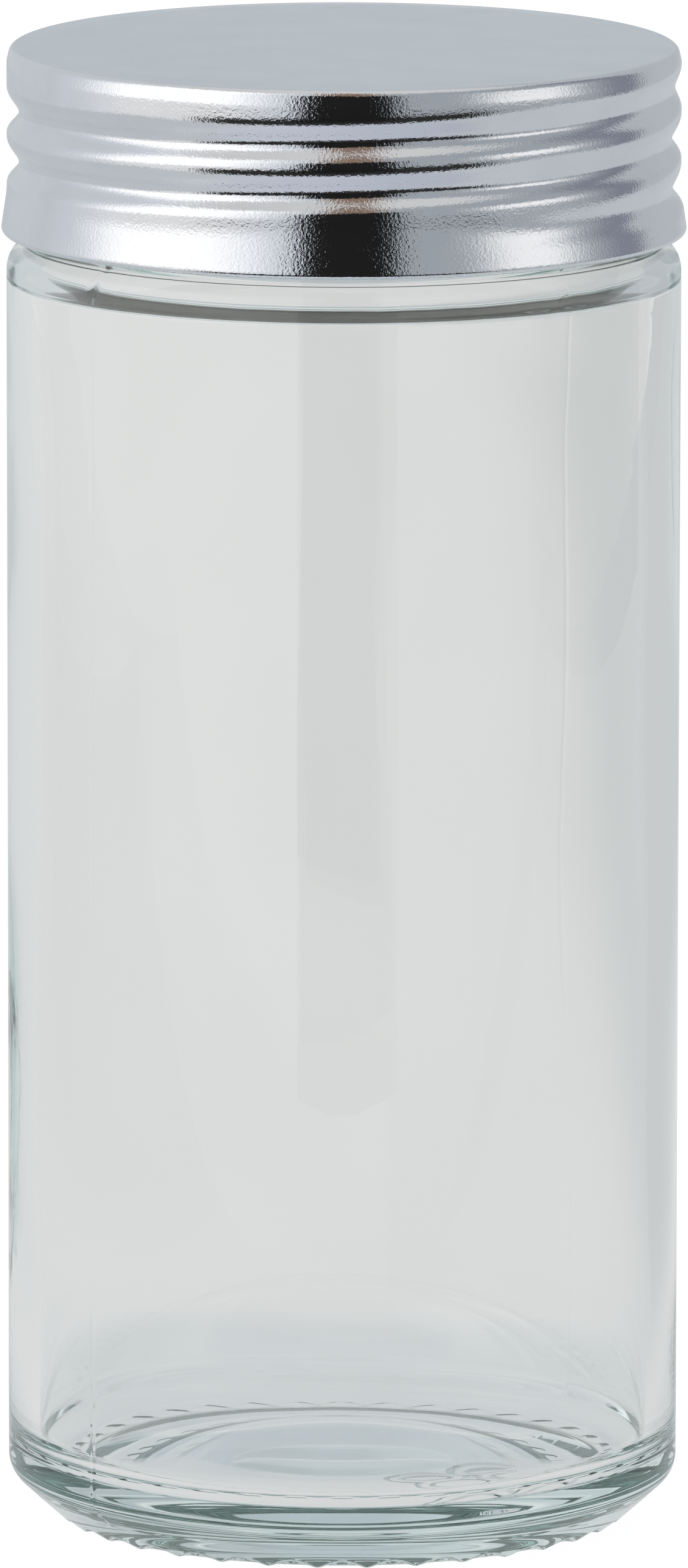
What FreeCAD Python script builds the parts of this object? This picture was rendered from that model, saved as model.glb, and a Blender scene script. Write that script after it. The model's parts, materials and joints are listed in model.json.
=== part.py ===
"""Spice jar: a clear glass jar, a pressed metal screw cap and the sealing disc inside the cap.

All lengths are millimetres.  +Z is up, the jar stands on z = 0 and its axis is the Z axis.
The driving sizes are the cells of the sheet "Sizes"; every sketch and feature is bound to them.
"""
import FreeCAD, Part

import math
import os

import Sketcher
from FreeCAD import Placement, Rotation, Vector

SHEET_NAME = "Sizes"
FULL_TURN = 360

# Each driving size: its name, its value and what it measures.
SIZES = [
    # glass jar, outside
    ("jar_height", 108.7, "bearing surface to sealing rim"),
    ("body_radius", 24.9, "outside of the cylindrical body"),
    ("wall", 2.35, "thickness of the body wall"),
    ("neck_length", 13.2, "rim down to the foot of the neck"),
    ("neck_step", 1.5, "how much narrower the neck is than the body"),
    ("neck_wall", 2.5, "thickness of the neck"),
    ("shoulder_drop", 0.7, "height of the shoulder's cone"),
    ("shoulder_rounding", 2.4, "from the body into the shoulder"),
    ("rim_outer_rounding", 1.0, "rim, outside"),
    ("rim_inner_rounding", 0.8, "rim, inside"),
    # glass jar, foot
    ("heel_height", 3.5, "where the body would meet the cone of the heel"),
    ("heel_rounding", 2.0, "from the body into the heel"),
    ("foot_step", 3.9, "how far the bearing ring lies inside the body"),
    ("foot_width", 1.5, "width of the bearing ring"),
    ("foot_rounding", 0.35, "both edges of the bearing ring"),
    ("punt_slope", 6.0, "width of the slope from the bearing ring up to the hollow's flat middle"),
    ("punt_height", 2.4, "height of the hollow under the base"),
    ("punt_rounding", 5.0, "round the flat middle of the hollow"),
    ("knurl_count", 36, "scallops round the bearing ring"),
    ("knurl_depth", 0.55, "depth of a scallop"),
    ("knurl_curve", 2.3, "radius of a scallop's arch"),
    ("knurl_reach", 1.8, "how far a scallop is cut past each edge of the bearing ring"),
    # glass jar, inside
    ("bore_length", 13.6, "straight bore, from the rim down"),
    ("bore_rounding", 2.0, "lower end of the bore"),
    ("inner_shoulder_drop", 3.9, "height of the inside shoulder"),
    ("inner_shoulder_rounding", 3.0, "inside shoulder"),
    ("floor_height", 4.6, "lowest part of the inside floor"),
    ("floor_rounding", 3.6, "between the wall and the floor"),
    ("floor_width", 6.5, "from the wall to the foot of the raised middle"),
    ("dome_slope", 6.0, "width of the slope up the raised middle"),
    ("dome_rise", 1.7, "height of the raised middle"),
    ("dome_rounding", 7.0, "foot and top of the raised middle"),
    # screw thread
    ("pitch", 3.7, "rise of the thread in one turn"),
    ("thread_depth", 0.9, "how far the glass thread stands out of the neck"),
    ("thread_drop", 7.65, "rim down to the middle of the glass thread's lower end"),
    ("thread_turns", 1.5, "length of the glass thread"),
    ("thread_root", 1.0, "half the width of the glass thread at the neck"),
    ("thread_crest", 0.42, "half the width of the glass thread at its crest"),
    ("thread_sink", 0.4, "how far the glass thread's section reaches into the neck"),
    ("flank_shift", 0.13, "how far the glass thread lies below the middle between two ridges"),
    # screw cap
    ("sheet_thickness", 0.28, "metal of the cap"),
    ("cap_clearance", 0.3, "crest of the glass thread to the cap's wall"),
    ("cap_height", 13.85, "top of the cap to the lower edge of its skirt"),
    ("cap_rounding", 1.26, "top edge"),
    ("flare", 0.4, "how far the skirt's lower edge stands outside the cap's wall"),
    ("flare_height", 3.1, "height of the flared skirt"),
    ("curl_height", 0.8, "rolled-in bead at the lower edge"),
    ("curl_width", 0.72, "how far the bead reaches inwards"),
    ("curl_rounding", 0.3, "edges of the bead"),
    ("groove_curve", 1.1, "radius of the groove's section"),
    ("groove_depth", 0.85, "how deep the thread is rolled into the metal"),
    ("groove_turns", 2.08, "length of the rolled thread"),
    ("groove_lead", 20, "degrees from the rolled thread's lower end to the X axis"),
    ("groove_end", 2, "degrees of ridge left closed at each end of the groove"),
    ("groove_reach", 0.1, "how far the groove's section stands outside the flared skirt"),
    # sealing disc
    ("liner_thickness", 0.98, "sealing disc"),
    ("liner_clearance", 0.35, "edge of the sealing disc to the ridge that it is pushed past"),
    ("liner_bevel", 0.15, "edges of the sealing disc"),
    ("seal_gap", 0.02, "room on each face of the sealing disc"),
]


class Size:
    """A length that knows its value and the expression that binds it to the sheet."""

    def __init__(self, value, text):
        self.value = value
        self.text = text

    @staticmethod
    def of(other):
        return other if isinstance(other, Size) else Size(other, str(other))

    def __add__(self, other):
        other = Size.of(other)
        return Size(self.value + other.value, f"({self.text} + {other.text})")

    def __sub__(self, other):
        other = Size.of(other)
        return Size(self.value - other.value, f"({self.text} - {other.text})")

    def __rsub__(self, other):
        return Size.of(other) - self

    def __mul__(self, other):
        other = Size.of(other)
        return Size(self.value * other.value, f"({self.text} * {other.text})")

    def __truediv__(self, other):
        other = Size.of(other)
        return Size(self.value / other.value, f"({self.text} / {other.text})")


class Sizes:
    """The sheet of driving sizes; each one is read as an attribute."""

    def __init__(self, document):
        sheet = document.addObject("Spreadsheet::Sheet", SHEET_NAME)
        for row, (name, value, meaning) in enumerate(SIZES, start=1):
            sheet.set(f"A{row}", str(value))
            sheet.setAlias(f"A{row}", name)
            sheet.set(f"B{row}", meaning)
            setattr(self, name, Size(value, f"{SHEET_NAME}.{name}"))
        document.recompute()


def bind(feature, name, size):
    """Ties a property, or a named sketch dimension, to the sheet."""
    feature.setExpression(name, Size.of(size).text)


def turn_about(feature, name, axis, angle):
    """Turns a placement about an axis through the origin by an angle from the sheet."""
    setattr(feature, name, Placement(Vector(0, 0, 0), Rotation(axis, angle.value)))
    bind(feature, f"{name}.Rotation.Angle", angle)


def origin_part(body, role):
    """One of the body's own origin axes or planes."""
    return next(part for part in body.Origin.OriginFeatures if part.Role == role)


def add_sketch(body, name, plane="XZ_Plane"):
    """A sketch on one of the body's origin planes."""
    sketch = body.newObject("Sketcher::SketchObject", name)
    sketch.AttachmentSupport = [(origin_part(body, plane), "")]
    sketch.MapMode = "FlatFace"
    return sketch


def dimension(sketch, name, kind, places, size):
    """A named dimension of the sketch, bound to the sheet."""
    index = sketch.addConstraint(Sketcher.Constraint(kind, *places, size.value))
    sketch.renameConstraint(index, name)
    bind(sketch, f"Constraints.{name}", size)


def fix_point(sketch, name, place, across, up):
    """Holds a sketch point at a distance across and up from the origin."""
    origin = (-1, 1)
    for axis, distance in (("X", across), ("Y", up)):
        distance = Size.of(distance)
        if abs(distance.value) < 1e-9:
            # A point on an axis is tied to the axis: -2 is the upright one, -1 the level one.
            line = -2 if axis == "X" else -1
            sketch.addConstraint(Sketcher.Constraint("PointOnObject", *place, line))
        elif distance.value > 0:
            dimension(sketch, f"{name}_{axis}", f"Distance{axis}", (*origin, *place), distance)
        else:
            dimension(sketch, f"{name}_{axis}", f"Distance{axis}", (*place, *origin), 0 - distance)


def tangent_points(before, corner, after, radius):
    """Where a rounding of this radius starts and ends, and its centre."""
    towards_before = (before - corner).normalize()
    towards_after = (after - corner).normalize()
    half_angle = towards_before.getAngle(towards_after) / 2
    reach = radius / math.tan(half_angle)
    middle = (towards_before + towards_after).normalize()
    centre = corner + middle * (radius / math.sin(half_angle))
    return corner + towards_before * reach, corner + towards_after * reach, centre


def draw_outline(sketch, corners):
    """Draws a closed outline of straight sides through the corners.

    Each corner is (across, up) or (across, up, rounding radius), all sizes.  A rounded corner
    is an arc tangent to both sides, which are held by a construction point at the corner.
    """
    count = len(corners)
    spots = [Vector(Size.of(c[0]).value, Size.of(c[1]).value, 0) for c in corners]
    starts, ends, arcs = [], [], {}
    for i, corner in enumerate(corners):
        if len(corner) == 3:
            first, last, centre = tangent_points(spots[i - 1], spots[i], spots[(i + 1) % count],
                                                 corner[2].value)
            arcs[i] = (first, last, centre)
        else:
            first = last = spots[i]
        ends.append(first)
        starts.append(last)
    sides = [sketch.addGeometry(Part.LineSegment(starts[i], ends[(i + 1) % count]), False)
             for i in range(count)]
    for i, corner in enumerate(corners):
        before, after = sides[i - 1], sides[i]
        name = f"{sketch.Name}_{i}"
        if i not in arcs:
            sketch.addConstraint(Sketcher.Constraint("Coincident", before, 2, after, 1))
            fix_point(sketch, name, (after, 1), corner[0], corner[1])
            continue
        first, last, centre = arcs[i]
        middle = centre + (spots[i] - centre).normalize() * corner[2].value
        arc_shape = Part.Arc(first, middle, last)
        arc = sketch.addGeometry(arc_shape, False)
        drawn_forward = sketch.getPoint(arc, 1).distanceToPoint(first) < 1e-6
        arc_start, arc_end = (1, 2) if drawn_forward else (2, 1)
        sketch.addConstraint(Sketcher.Constraint("Tangent", before, 2, arc, arc_start))
        sketch.addConstraint(Sketcher.Constraint("Tangent", arc, arc_end, after, 1))
        dimension(sketch, f"{name}_R", "Radius", (arc,), corner[2])
        point = sketch.addGeometry(Part.Point(spots[i]), True)
        sketch.addConstraint(Sketcher.Constraint("PointOnObject", point, 1, before))
        sketch.addConstraint(Sketcher.Constraint("PointOnObject", point, 1, after))
        fix_point(sketch, name, (point, 1), corner[0], corner[1])


def draw_circle(sketch, centre, radius):
    """Draws a circle round a centre that is (across, up)."""
    spot = Vector(*(Size.of(distance).value for distance in centre), 0)
    circle = sketch.addGeometry(Part.Circle(spot, Vector(0, 0, 1), radius.value), False)
    fix_point(sketch, f"{sketch.Name}_centre", (circle, 3), *centre)
    dimension(sketch, f"{sketch.Name}_radius", "Radius", (circle,), radius)


def draw_bead(sketch, centre, radius, clip):
    """Draws the part of a circle that lies nearer to the axis than a clip distance.

    The centre is (across, up); the flat side is upright at the clip distance.
    """
    across, up = centre
    rise = math.sqrt(radius.value ** 2 - (across.value - clip.value) ** 2)
    opening = math.atan2(rise, clip.value - across.value)
    circle = Part.Circle(Vector(across.value, up.value, 0), Vector(0, 0, 1), radius.value)
    arc = sketch.addGeometry(Part.ArcOfCircle(circle, opening, 2 * math.pi - opening), False)
    side = sketch.addGeometry(Part.LineSegment(Vector(clip.value, up.value - rise, 0),
                                               Vector(clip.value, up.value + rise, 0)), False)
    sketch.addConstraint(Sketcher.Constraint("Coincident", arc, 2, side, 1))
    sketch.addConstraint(Sketcher.Constraint("Coincident", side, 2, arc, 1))
    sketch.addConstraint(Sketcher.Constraint("Vertical", side))
    fix_point(sketch, f"{sketch.Name}_centre", (arc, 3), across, up)
    dimension(sketch, f"{sketch.Name}_radius", "Radius", (arc,), radius)
    dimension(sketch, f"{sketch.Name}_clip", "DistanceX", (-1, 1, side, 1), clip)


def add_revolution(body, name, sketch, kind="Revolution"):
    """Turns a sketch once round the Z axis, adding (Revolution) or cutting (Groove)."""
    turned = body.newObject(f"PartDesign::{kind}", name)
    turned.Profile = sketch
    turned.ReferenceAxis = (origin_part(body, "Z_Axis"), [""])
    turned.Angle = FULL_TURN
    return turned


def add_helix(body, name, sketch, kind, pitch, height):
    """Sweeps a sketch up a right-handed screw line round the Z axis, adding or cutting."""
    helix = body.newObject(f"PartDesign::{kind}Helix", name)
    helix.Profile = sketch
    helix.ReferenceAxis = (origin_part(body, "Z_Axis"), [""])
    helix.Mode = "pitch-height-angle"
    bind(helix, "Pitch", pitch)
    bind(helix, "Height", height)
    return helix


class Jar:
    """Sizes that the jar, its thread and its cap share, worked out from the driving ones."""

    def __init__(self, s):
        self.neck_radius = s.body_radius - s.neck_step
        self.thread_radius = self.neck_radius + s.thread_depth
        self.thread_start = s.jar_height - s.thread_drop
        self.cap_inner_radius = self.thread_radius + s.cap_clearance
        self.cap_radius = self.cap_inner_radius + s.sheet_thickness
        self.ridge_radius = self.cap_inner_radius - s.groove_depth
        self.liner_bottom = s.jar_height + s.seal_gap
        self.liner_top = self.liner_bottom + s.liner_thickness
        self.cap_ceiling = self.liner_top + s.seal_gap
        self.cap_top = self.cap_ceiling + s.sheet_thickness


def make_glass_jar(document, s, jar):
    """The jar: a turned glass body with a threaded neck and a knurled foot."""
    body = document.addObject("PartDesign::Body", "glass_jar")

    section = add_sketch(body, "jar_section")
    neck_foot = s.jar_height - s.neck_length
    foot_radius = s.body_radius - s.foot_step
    foot_inner_radius = foot_radius - s.foot_width
    bore_radius = jar.neck_radius - s.neck_wall
    bore_end = s.jar_height - s.bore_length
    inner_radius = s.body_radius - s.wall
    dome_radius = inner_radius - s.floor_width
    dome_height = s.floor_height + s.dome_rise
    draw_outline(section, [
        (0, s.punt_height),
        (foot_inner_radius - s.punt_slope, s.punt_height, s.punt_rounding),
        (foot_inner_radius, 0, s.foot_rounding),
        (foot_radius, 0, s.foot_rounding),
        (s.body_radius, s.heel_height, s.heel_rounding),
        (s.body_radius, neck_foot - s.shoulder_drop, s.shoulder_rounding),
        (jar.neck_radius, neck_foot),
        (jar.neck_radius, s.jar_height, s.rim_outer_rounding),
        (bore_radius, s.jar_height, s.rim_inner_rounding),
        (bore_radius, bore_end, s.bore_rounding),
        (inner_radius, bore_end - s.inner_shoulder_drop, s.inner_shoulder_rounding),
        (inner_radius, s.floor_height, s.floor_rounding),
        (dome_radius, s.floor_height, s.dome_rounding),
        (dome_radius - s.dome_slope, dome_height, s.dome_rounding),
        (0, dome_height),
    ])
    add_revolution(body, "jar_turned", section)
    document.recompute()

    thread_section = add_sketch(body, "thread_section")
    root_radius = jar.neck_radius - s.thread_sink
    draw_outline(thread_section, [
        (root_radius, jar.thread_start - s.thread_root),
        (jar.thread_radius, jar.thread_start - s.thread_crest),
        (jar.thread_radius, jar.thread_start + s.thread_crest),
        (root_radius, jar.thread_start + s.thread_root),
    ])
    add_helix(body, "thread", thread_section, "Additive", s.pitch, s.pitch * s.thread_turns)
    document.recompute()

    scallop_section = add_sketch(body, "scallop_section", "YZ_Plane")
    scallop_start = foot_inner_radius - s.knurl_reach
    bind(scallop_section, "AttachmentOffset.Base.z", scallop_start)
    draw_circle(scallop_section, (0, s.knurl_depth - s.knurl_curve), s.knurl_curve)
    scallop = body.newObject("PartDesign::Pocket", "scallop")
    scallop.Profile = scallop_section
    scallop.Reversed = True
    bind(scallop, "Length", s.foot_width + s.knurl_reach * 2)
    document.recompute()
    knurl = body.newObject("PartDesign::PolarPattern", "knurl")
    knurl.Originals = [scallop]
    knurl.Axis = (origin_part(body, "Z_Axis"), [""])
    knurl.Angle = FULL_TURN
    bind(knurl, "Occurrences", s.knurl_count)
    body.Tip = knurl
    return body


def make_cap_shell(document, s, jar):
    """The cap: thin pressed metal with its thread rolled in and its lower edge curled."""
    body = document.addObject("PartDesign::Body", "cap_shell")
    bottom = jar.cap_top - s.cap_height
    flare_top = bottom + s.flare_height
    skirt_radius = jar.cap_radius + s.flare
    curl_inside = skirt_radius - s.curl_width
    curl_top = bottom + s.curl_height

    # The glass thread lies between two ridges of the cap, nearer to the lower one, which pulls
    # the cap down.  The ridge starts ahead of the X axis; the body's Placement turns it there.
    lead = s.pitch * s.groove_lead / FULL_TURN
    start = jar.thread_start - s.pitch / 2 + s.flank_shift - lead
    centre = jar.cap_radius + s.groove_curve - s.groove_depth
    ridge_section = add_sketch(body, "ridge_section")
    draw_circle(ridge_section, (centre, start), s.groove_curve + s.sheet_thickness)
    add_helix(body, "ridge", ridge_section, "Additive", s.pitch, s.pitch * s.groove_turns)
    document.recompute()

    # The ridge ends in the middle of the sheet, also where the skirt flares.
    middle_radius = jar.cap_radius - s.sheet_thickness / 2
    outer_radius = centre + s.groove_curve * 2
    trim_section = add_sketch(body, "trim_section")
    draw_outline(trim_section, [
        (middle_radius, jar.cap_top),
        (middle_radius, flare_top),
        (middle_radius + s.flare, bottom),
        (middle_radius + s.flare, bottom - s.flare_height),
        (outer_radius, bottom - s.flare_height),
        (outer_radius, jar.cap_top),
    ])
    add_revolution(body, "ridge_trim", trim_section, "Groove")
    document.recompute()

    section = add_sketch(body, "cap_section")
    draw_outline(section, [
        (0, jar.cap_top),
        (jar.cap_radius, jar.cap_top, s.cap_rounding),
        (jar.cap_radius, flare_top),
        (skirt_radius, bottom, s.curl_rounding),
        (curl_inside, bottom, s.curl_rounding),
        (curl_inside, curl_top, s.curl_rounding),
        (skirt_radius - s.sheet_thickness, curl_top),
        (jar.cap_inner_radius, flare_top),
        (jar.cap_inner_radius, jar.cap_ceiling, s.cap_rounding - s.sheet_thickness),
        (0, jar.cap_ceiling),
    ])
    add_revolution(body, "cap_turned", section)
    document.recompute()

    # The groove starts and ends a little inside the ridge, so that the metal closes its ends.
    end_rise = s.pitch * s.groove_end / FULL_TURN
    groove_section = add_sketch(body, "groove_section")
    turn_about(groove_section, "AttachmentOffset", Vector(0, 1, 0), s.groove_end)
    draw_bead(groove_section, (centre, start + end_rise), s.groove_curve,
              skirt_radius + s.groove_reach)
    add_helix(body, "groove", groove_section, "Subtractive", s.pitch,
              s.pitch * s.groove_turns - end_rise * 2)
    turn_about(body, "Placement", Vector(0, 0, 1), 0 - s.groove_lead)
    return body


def make_cap_liner(document, s, jar):
    """The sealing disc that lies inside the cap, on the rim of the jar."""
    body = document.addObject("PartDesign::Body", "cap_liner")
    radius = jar.ridge_radius - s.liner_clearance
    section = add_sketch(body, "liner_section")
    draw_outline(section, [
        (0, jar.liner_bottom),
        (radius - s.liner_bevel, jar.liner_bottom),
        (radius, jar.liner_bottom + s.liner_bevel),
        (radius, jar.liner_top - s.liner_bevel),
        (radius - s.liner_bevel, jar.liner_top),
        (0, jar.liner_top),
    ])
    add_revolution(body, "liner_turned", section)
    return body


def check(document, bodies):
    """Stops if any feature failed or any body isn't one sound solid."""
    for item in document.Objects:
        failed = {"Invalid", "Error"} & set(item.State)
        if failed:
            raise RuntimeError(f"{item.Label} is {failed}")
    for body in bodies:
        shape = body.Shape
        if shape.isNull() or not shape.isValid() or len(shape.Solids) != 1:
            raise RuntimeError(f"{body.Label} isn't one valid solid")


def main():
    document = FreeCAD.newDocument("spice_jar")
    sizes = Sizes(document)
    jar = Jar(sizes)
    bodies = [make(document, sizes, jar)
              for make in (make_glass_jar, make_cap_shell, make_cap_liner)]
    document.recompute()
    check(document, bodies)
    os.makedirs("parts", exist_ok=True)
    for body in bodies:
        body.Shape.exportStep(f"parts/{body.Label}.step")
        print(f"{body.Label}: {body.Shape.Volume:.1f} mm3, {body.Shape.BoundBox}")


main()
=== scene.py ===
import json
import logging
import math
from collections.abc import Sequence
from dataclasses import dataclass, field
from enum import Enum

import bmesh
import bpy
import numpy as np
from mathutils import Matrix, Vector


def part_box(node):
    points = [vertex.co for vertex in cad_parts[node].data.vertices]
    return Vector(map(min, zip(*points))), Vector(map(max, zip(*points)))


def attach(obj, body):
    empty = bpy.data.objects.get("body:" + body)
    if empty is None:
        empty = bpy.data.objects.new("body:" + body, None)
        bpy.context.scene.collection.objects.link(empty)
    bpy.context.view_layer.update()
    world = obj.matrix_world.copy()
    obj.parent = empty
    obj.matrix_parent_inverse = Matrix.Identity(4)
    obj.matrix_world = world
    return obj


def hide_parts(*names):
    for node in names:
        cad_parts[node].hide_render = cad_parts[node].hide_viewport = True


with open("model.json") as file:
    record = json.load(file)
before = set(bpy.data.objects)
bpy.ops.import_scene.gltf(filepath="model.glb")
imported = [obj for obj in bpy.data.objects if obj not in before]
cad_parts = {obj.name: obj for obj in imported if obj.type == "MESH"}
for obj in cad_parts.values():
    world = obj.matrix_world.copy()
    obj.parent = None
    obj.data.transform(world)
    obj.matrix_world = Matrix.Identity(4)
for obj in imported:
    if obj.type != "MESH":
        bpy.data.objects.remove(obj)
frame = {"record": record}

LOG = logging.getLogger("spice_jar")
MM = 0.001
FULL_TURN = 2 * math.pi
LIGHT_BOUNCES = 64

Point = tuple[float, float]
Colour = tuple[float, float, float, float]
Rows = np.ndarray


class Part(Enum):
    """The pieces of the jar: the name of each piece's node in the frame."""

    JAR = "glass_jar"
    CAP = "cap_shell"
    LINER = "cap_liner"


class Slot(Enum):
    """The record's material slots."""

    GLASS = "clear_glass"
    METAL = "bright_metal"
    FOAM = "sealing_disc"


class Value:
    """A socket that holds one number, with arithmetic that adds Math nodes."""

    def __init__(self, tree: "Tree", socket: bpy.types.NodeSocket) -> None:
        """Keeps the socket and the tree that it belongs to."""
        self.tree = tree
        self.socket = socket

    def _math(self, operation: str, *operands: "Value | float") -> "Value":
        """Adds one Math node.

        Args:
            operation: the node's operation.
            operands: its inputs, in order.

        Returns:
            The node's result.
        """
        return self.tree.value("ShaderNodeMath", {"operation": operation},
                               dict(enumerate(operands)))

    def __add__(self, other: "Value | float") -> "Value":
        """Sum."""
        return self._math("ADD", self, other)

    def __radd__(self, other: float) -> "Value":
        """Sum, number first."""
        return self._math("ADD", other, self)

    def __sub__(self, other: "Value | float") -> "Value":
        """Difference."""
        return self._math("SUBTRACT", self, other)

    def __rsub__(self, other: float) -> "Value":
        """Difference, number first."""
        return self._math("SUBTRACT", other, self)

    def __mul__(self, other: "Value | float") -> "Value":
        """Product."""
        return self._math("MULTIPLY", self, other)

    def __rmul__(self, other: float) -> "Value":
        """Product, number first."""
        return self._math("MULTIPLY", other, self)

    def __neg__(self) -> "Value":
        """Negative."""
        return self._math("MULTIPLY", self, -1.0)

    def atan2(self, other: "Value") -> "Value":
        """Angle of the direction whose rise is this value and whose run is the other."""
        return self._math("ARCTAN2", self, other)

    def asin(self) -> "Value":
        """Angle whose sine is this value."""
        return self._math("ARCSINE", self)

    def size(self) -> "Value":
        """Absolute value."""
        return self._math("ABSOLUTE", self)

    def step(self, start: float, end: float) -> "Value":
        """A smooth step between two levels.

        Args:
            start: where the step is 0. It may be the larger one.
            end: where the step is 1.

        Returns:
            The step.
        """
        ramp = self.tree.value(
            "ShaderNodeMapRange",
            {"interpolation_type": "SMOOTHSTEP"},
            {"Value": self, "From Min": min(start, end), "From Max": max(start, end)},
        )
        return ramp if start < end else 1.0 - ramp


class Tree:
    """A node tree that is built with one method for every kind of node."""

    def __init__(self, tree: bpy.types.NodeTree) -> None:
        """Empties the tree."""
        self.tree = tree
        tree.nodes.clear()

    def node(
        self, kind: str, settings: dict[str, object] | None = None,
        sockets: dict[str | int, object] | None = None,
    ) -> bpy.types.Node:
        """Adds a node.

        Args:
            kind: the node's type name.
            settings: properties, set first.
            sockets: values or links of its inputs, by name or number.

        Returns:
            The node.
        """
        node = self.tree.nodes.new(kind)
        for name, setting in (settings or {}).items():
            setattr(node, name, setting)
        for name, given in (sockets or {}).items():
            given = given.socket if isinstance(given, Value) else given
            if isinstance(given, bpy.types.NodeSocket):
                self.tree.links.new(given, node.inputs[name])
            else:
                node.inputs[name].default_value = given
        return node

    def value(
        self, kind: str, settings: dict[str, object] | None = None,
        sockets: dict[str | int, object] | None = None, output: str | int = 0,
    ) -> Value:
        """Adds a node and gives one of its outputs as a number."""
        return Value(self, self.node(kind, settings, sockets).outputs[output])

    def mix(self, factor: Value, first: object, second: object) -> bpy.types.NodeSocket:
        """Blends two colours.

        Args:
            factor: 0 for the first colour, 1 for the second.
            first: a colour or a colour socket.
            second: a colour or a colour socket.

        Returns:
            The blended colour.
        """
        node = self.node("ShaderNodeMix", {"data_type": "RGBA"}, {0: factor, 6: first, 7: second})
        return node.outputs[2]

    def noise(self, scale: float, detail: float = 2.0, roughness: float = 0.5) -> Value:
        """Noise in the object's own space.

        Args:
            scale: bumps per metre.
            detail: finer layers.
            roughness: strength of the finer layers.

        Returns:
            The noise, about 0.5 on average.
        """
        sockets = {"Vector": self.place(), "Scale": scale, "Detail": detail,
                   "Roughness": roughness}
        return self.value("ShaderNodeTexNoise", {"noise_dimensions": "3D"}, sockets)

    def vector(self, operation: str, *operands: object) -> bpy.types.Node:
        """Adds one Vector Math node.

        Args:
            operation: the node's operation.
            operands: its inputs, in order.

        Returns:
            The node, with its vector first and its number second.
        """
        sockets = dict(enumerate(operands))
        return self.node("ShaderNodeVectorMath", {"operation": operation}, sockets)

    def place(self) -> bpy.types.NodeSocket:
        """The point's place in the object's own space."""
        return self.node("ShaderNodeTexCoord").outputs["Object"]

    def axes(self, vector: bpy.types.NodeSocket) -> tuple[Value, Value, Value]:
        """The three numbers of a vector."""
        split = self.node("ShaderNodeSeparateXYZ", {}, {0: vector})
        return tuple(Value(self, output) for output in split.outputs)

    def bump(self, height: Value, distance: float) -> bpy.types.NodeSocket:
        """A normal bent by a height.

        Args:
            height: the height, in units of distance.
            distance: metres for a height of 1.

        Returns:
            The normal.
        """
        sockets = {"Height": height, "Distance": distance}
        return self.node("ShaderNodeBump", {}, sockets).outputs["Normal"]


def grey(level: float) -> Colour:
    """A neutral colour of that level."""
    return (level, level, level, 1.0)


def colour(red: float, green: float, blue: float) -> Colour:
    """A colour for a node's socket."""
    return (red, green, blue, 1.0)


def radians(edge: Point) -> Point:
    """The two angles of a soft edge, from degrees to radians."""
    return math.radians(edge[0]), math.radians(edge[1])


@dataclass(frozen=True)
class Finish:
    """A surface finish: it makes one material with its own nodes."""

    name: str

    def material(self) -> bpy.types.Material:
        """Makes the material.

        Returns:
            The material, with its output linked.
        """
        material = bpy.data.materials.new(self.name)
        material.use_nodes = True
        tree = Tree(material.node_tree)
        self.wire(tree)
        return material

    def wire(self, tree: Tree) -> None:
        """Adds the finish's nodes to the tree."""
        raise NotImplementedError

    @staticmethod
    def output(tree: Tree, surface: bpy.types.Node, volume: bpy.types.Node | None = None) -> None:
        """Links the material's output.

        Args:
            tree: the material's tree.
            surface: the node of its surface.
            volume: the node of its inside, if it has one.
        """
        sockets = {"Surface": surface.outputs[0]}
        if volume:
            sockets["Volume"] = volume.outputs[0]
        tree.node("ShaderNodeOutputMaterial", {}, sockets)


@dataclass(frozen=True)
class MouldedGlass(Finish):
    """Clear soda-lime glass from a blow mould: a little wavy, greener where it is thick, with
    painted shade along the edges of the raised number.
    """

    tint: Colour = colour(0.99, 0.992, 0.988)
    cloudy_tint: Colour = colour(0.978, 0.982, 0.977)
    cloud_scale: float = 60.0
    cloud_levels: Point = (0.35, 0.7)
    cloud_roughness: float = 0.015
    inside_tint: Colour = colour(0.2, 0.66, 0.6)
    inside_density: float = 5.0
    # Painted shade: a darker tint along the edges of the number's strokes, standing in for their
    # dark outline.
    outline_shade_name: str = "painted_outline_shade"
    outline_shade_tint: Colour = colour(0.5, 0.56, 0.55)
    refraction: float = 1.51
    wave_scale: float = 240.0
    wave_height: float = 4e-6
    ripple_scale: float = 900.0
    ripple_height: float = 0.5e-6

    def wire(self, tree: Tree) -> None:
        """Adds the glass's nodes.

        Args:
            tree: the material's tree.
        """
        wave = tree.noise(self.wave_scale, 1.0)
        ripple = tree.noise(self.ripple_scale, 2.0)
        height = wave * (self.wave_height / MM) + ripple * (self.ripple_height / MM)
        clouds = tree.noise(self.cloud_scale, 3.0)
        clear = tree.mix(clouds.step(*self.cloud_levels), self.tint, self.cloudy_tint)
        # Where the number's stroke edges are marked, the glass takes the painted shade tint.
        edge = tree.value("ShaderNodeAttribute", {"attribute_name": self.outline_shade_name}, {}, "Fac")
        glass = tree.node("ShaderNodeBsdfPrincipled", {}, {
            "Base Color": tree.mix(edge, clear, self.outline_shade_tint),
            "Roughness": clouds * self.cloud_roughness,
            "IOR": self.refraction,
            "Transmission Weight": 1.0,
            "Normal": tree.bump(height, MM),
        })
        inside = tree.node("ShaderNodeVolumeAbsorption", {}, {
            "Color": self.inside_tint, "Density": self.inside_density,
        })
        self.output(tree, glass, inside)


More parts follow.
